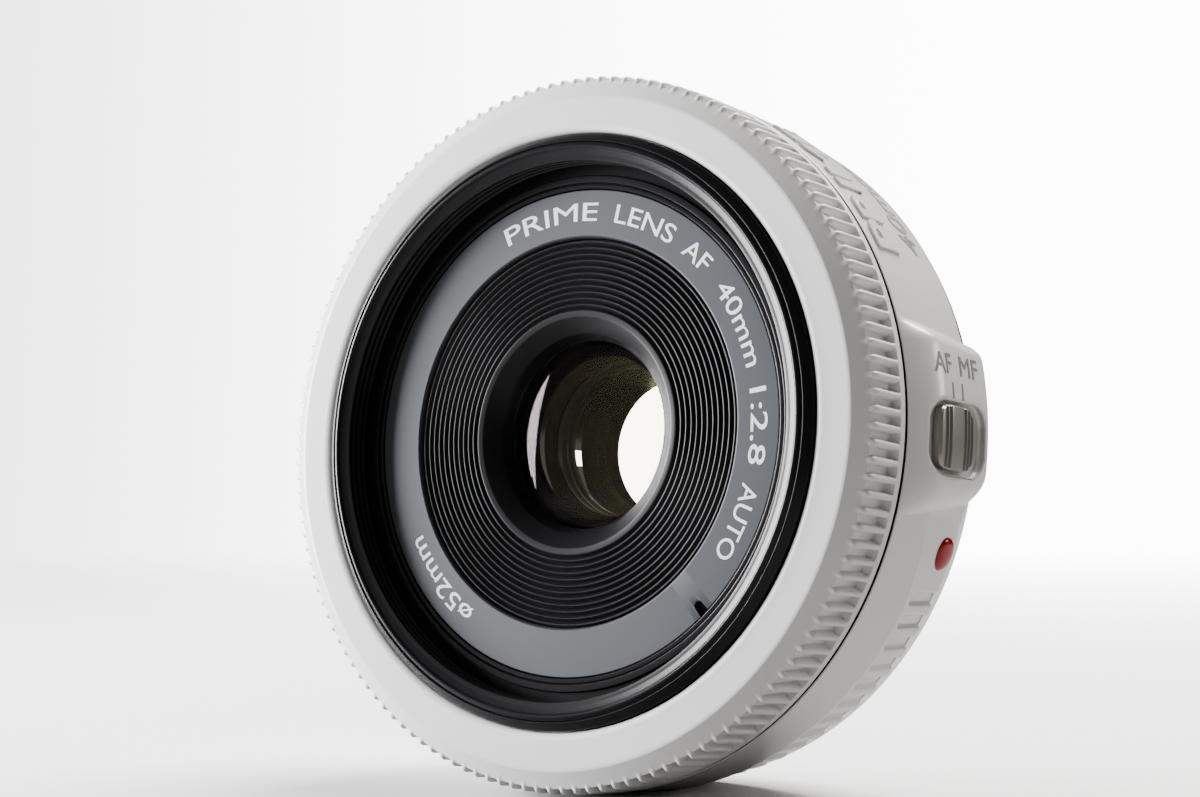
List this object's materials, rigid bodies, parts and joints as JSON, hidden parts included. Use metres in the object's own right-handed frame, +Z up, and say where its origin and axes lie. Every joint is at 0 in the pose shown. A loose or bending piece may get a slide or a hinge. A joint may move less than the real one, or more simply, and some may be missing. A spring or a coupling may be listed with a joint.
{
  "type": "prime camera lens",
  "caption": "Flat autofocus prime lens with a bayonet mount, a ribbed manual focus ring, a mode switch and an iris that opens and closes.",
  "frame": {"origin": "on the optical axis, in the plane of the bayonet flange's seating face", "axes": "+Y to the rear along the optical axis, towards the camera; the front of the lens faces -Y; +Z up as mounted on a camera; the mode switch is at +X"},
  "size_m": [0.0699, 0.0281, 0.0682],
  "materials": {
    "white_plastic": "satin white",
    "red_plastic": "glossy domed",
    "chrome_mount": "bright plated",
    "steel_screws": "turned steel",
    "black_plastic": "matt moulded black",
    "black_metal": "black anodised, fine turned",
    "gold_contacts": "gold plated",
    "green_board": "solder mask",
    "chip_plastic": "moulded black",
    "grey_aluminium": "machined",
    "name_metal": "dark brushed ring",
    "motor_metal": "drawn can",
    "gear_plastic": "natural acetal",
    "brass_gear": "cut brass",
    "clear_glass": "coated, polished",
    "knob_metal": "grey-beige satin",
    "iris_steel": "blackened spring steel"
  },
  "bodies": {
    "barrel": {"outer_barrel": "white_plastic", "index_dot": "red_plastic", "mount_plate": "chrome_mount", "mount_screws": "steel_screws", "guide_barrel": "grey_aluminium", "ring_slip_washer": "gear_plastic", "ring_retaining_clip": "steel_screws", "chassis_plate": "grey_aluminium", "chassis_screws": "steel_screws", "main_circuit_board": "green_board", "board_chips": "chip_plastic", "rear_cover": "black_plastic", "rear_cover_screws": "steel_screws", "contact_block": "black_plastic", "contact_pins": "gold_contacts", "contact_block_screws": "steel_screws", "focus_motor": "motor_metal", "motor_bracket": "grey_aluminium", "motor_bracket_screws": "steel_screws", "idler_post": "steel_screws", "ring_sensor": "black_plastic", "switch_base": "black_plastic"},
    "focus_ring": {"focus_ring": "white_plastic", "encoder_comb": "black_plastic"},
    "mode_switch": {"switch_knob": "knob_metal", "switch_slider": "black_plastic"},
    "cam_ring": {"cam_ring": "grey_aluminium"},
    "idler_gear": {"idler_gear": "gear_plastic"},
    "motor_rotor": {"motor_shaft": "steel_screws", "motor_pinion": "brass_gear"},
    "front_unit": {"front_barrel": "black_metal", "name_ring": "name_metal", "grooved_baffle": "black_metal", "cam_followers": "steel_screws", "lens_cell_front": "black_metal", "front_element": "clear_glass", "doublet_front_positive": "clear_glass", "doublet_front_negative": "clear_glass", "front_retaining_ring": "black_metal", "iris_base": "black_plastic", "iris_cover": "black_plastic", "iris_motor": "motor_metal", "iris_screws": "steel_screws", "lens_cell_rear": "black_plastic", "doublet_rear_negative": "clear_glass", "doublet_rear_positive": "clear_glass", "rear_element": "clear_glass", "rear_retaining_ring": "black_metal"},
    "iris_drive_ring": {"iris_drive_ring": "black_plastic"},
    "iris_pinion": {"iris_pinion": "gear_plastic"},
    "iris_blade_1": {"iris_blade_1": "iris_steel"},
    "iris_blade_2": {"iris_blade_2": "iris_steel"},
    "iris_blade_3": {"iris_blade_3": "iris_steel"},
    "iris_blade_4": {"iris_blade_4": "iris_steel"},
    "iris_blade_5": {"iris_blade_5": "iris_steel"},
    "iris_blade_6": {"iris_blade_6": "iris_steel"},
    "iris_blade_7": {"iris_blade_7": "iris_steel"}
  },
  "joints": [
    {"name": "focus_ring_turn", "type": "hinge", "parent": "barrel", "child": "focus_ring", "pos_m": [0, -0.019, 0], "axis": [0, 1, 0], "continuous": true},
    {"name": "mode_switch_slide", "type": "slide", "parent": "barrel", "child": "mode_switch", "axis": [0, 1, 0], "range_m": [0, 0.0018]},
    {"name": "cam_ring_turn", "type": "hinge", "parent": "barrel", "child": "cam_ring", "pos_m": [0, -0.011, 0], "axis": [0, 1, 0], "range_deg": [0, 100]},
    {"name": "front_unit_slide", "type": "slide", "parent": "barrel", "child": "front_unit", "axis": [0, -1, 0], "range_m": [0, 0.00721]},
    {"name": "idler_turn", "type": "hinge", "parent": "barrel", "child": "idler_gear", "pos_m": [-0.0198, -0.0038, -0.01247], "axis": [0, 1, 0], "range_deg": [-1, 751]},
    {"name": "motor_turn", "type": "hinge", "parent": "barrel", "child": "motor_rotor", "pos_m": [-0.01945, -0.0038, -0.00708], "axis": [0, 1, 0], "range_deg": [-1501, 1]},
    {"name": "iris_ring_turn", "type": "hinge", "parent": "front_unit", "child": "iris_drive_ring", "pos_m": [0, -0.00995, 0], "axis": [0, -1, 0], "range_deg": [0, 30]},
    {"name": "iris_pinion_turn", "type": "hinge", "parent": "front_unit", "child": "iris_pinion", "pos_m": [0, -0.00995, 0.0171], "axis": [0, -1, 0], "range_deg": [-313, 1]},
    {"name": "iris_blade_1_turn", "type": "hinge", "parent": "front_unit", "child": "iris_blade_1", "pos_m": [0.01139, -0.0088, 0.0016], "axis": [0, -1, 0], "range_deg": [-0.05, 31.05]},
    {"name": "iris_blade_2_turn", "type": "hinge", "parent": "front_unit", "child": "iris_blade_2", "pos_m": [0.00585, -0.0088, 0.0099], "axis": [0, -1, 0], "range_deg": [-0.05, 31.05]},
    {"name": "iris_blade_3_turn", "type": "hinge", "parent": "front_unit", "child": "iris_blade_3", "pos_m": [-0.00409, -0.0088, 0.01075], "axis": [0, -1, 0], "range_deg": [-0.05, 31.05]},
    {"name": "iris_blade_4_turn", "type": "hinge", "parent": "front_unit", "child": "iris_blade_4", "pos_m": [-0.01095, -0.0088, 0.0035], "axis": [0, -1, 0], "range_deg": [-0.05, 31.05]},
    {"name": "iris_blade_5_turn", "type": "hinge", "parent": "front_unit", "child": "iris_blade_5", "pos_m": [-0.00957, -0.0088, -0.00638], "axis": [0, -1, 0], "range_deg": [-0.05, 31.05]},
    {"name": "iris_blade_6_turn", "type": "hinge", "parent": "front_unit", "child": "iris_blade_6", "pos_m": [-0.00097, -0.0088, -0.01146], "axis": [0, -1, 0], "range_deg": [-0.05, 31.05]},
    {"name": "iris_blade_7_turn", "type": "hinge", "parent": "front_unit", "child": "iris_blade_7", "pos_m": [0.00835, -0.0088, -0.00791], "axis": [0, -1, 0], "range_deg": [-0.05, 31.05]}
  ],
  "couplings": [
    {"joint": "front_unit_slide", "follows": "cam_ring_turn", "m_per_rad": 0.0041253},
    {"joint": "idler_turn", "follows": "cam_ring_turn", "ratio": 7.5},
    {"joint": "motor_turn", "follows": "cam_ring_turn", "ratio": -15},
    {"joint": "iris_pinion_turn", "follows": "iris_ring_turn", "ratio": -10.4},
    {"joint": "iris_blade_1_turn", "follows": "iris_ring_turn", "ratio": 1.0333},
    {"joint": "iris_blade_2_turn", "follows": "iris_ring_turn", "ratio": 1.0333},
    {"joint": "iris_blade_3_turn", "follows": "iris_ring_turn", "ratio": 1.0333},
    {"joint": "iris_blade_4_turn", "follows": "iris_ring_turn", "ratio": 1.0333},
    {"joint": "iris_blade_5_turn", "follows": "iris_ring_turn", "ratio": 1.0333},
    {"joint": "iris_blade_6_turn", "follows": "iris_ring_turn", "ratio": 1.0333},
    {"joint": "iris_blade_7_turn", "follows": "iris_ring_turn", "ratio": 1.0333}
  ]
}
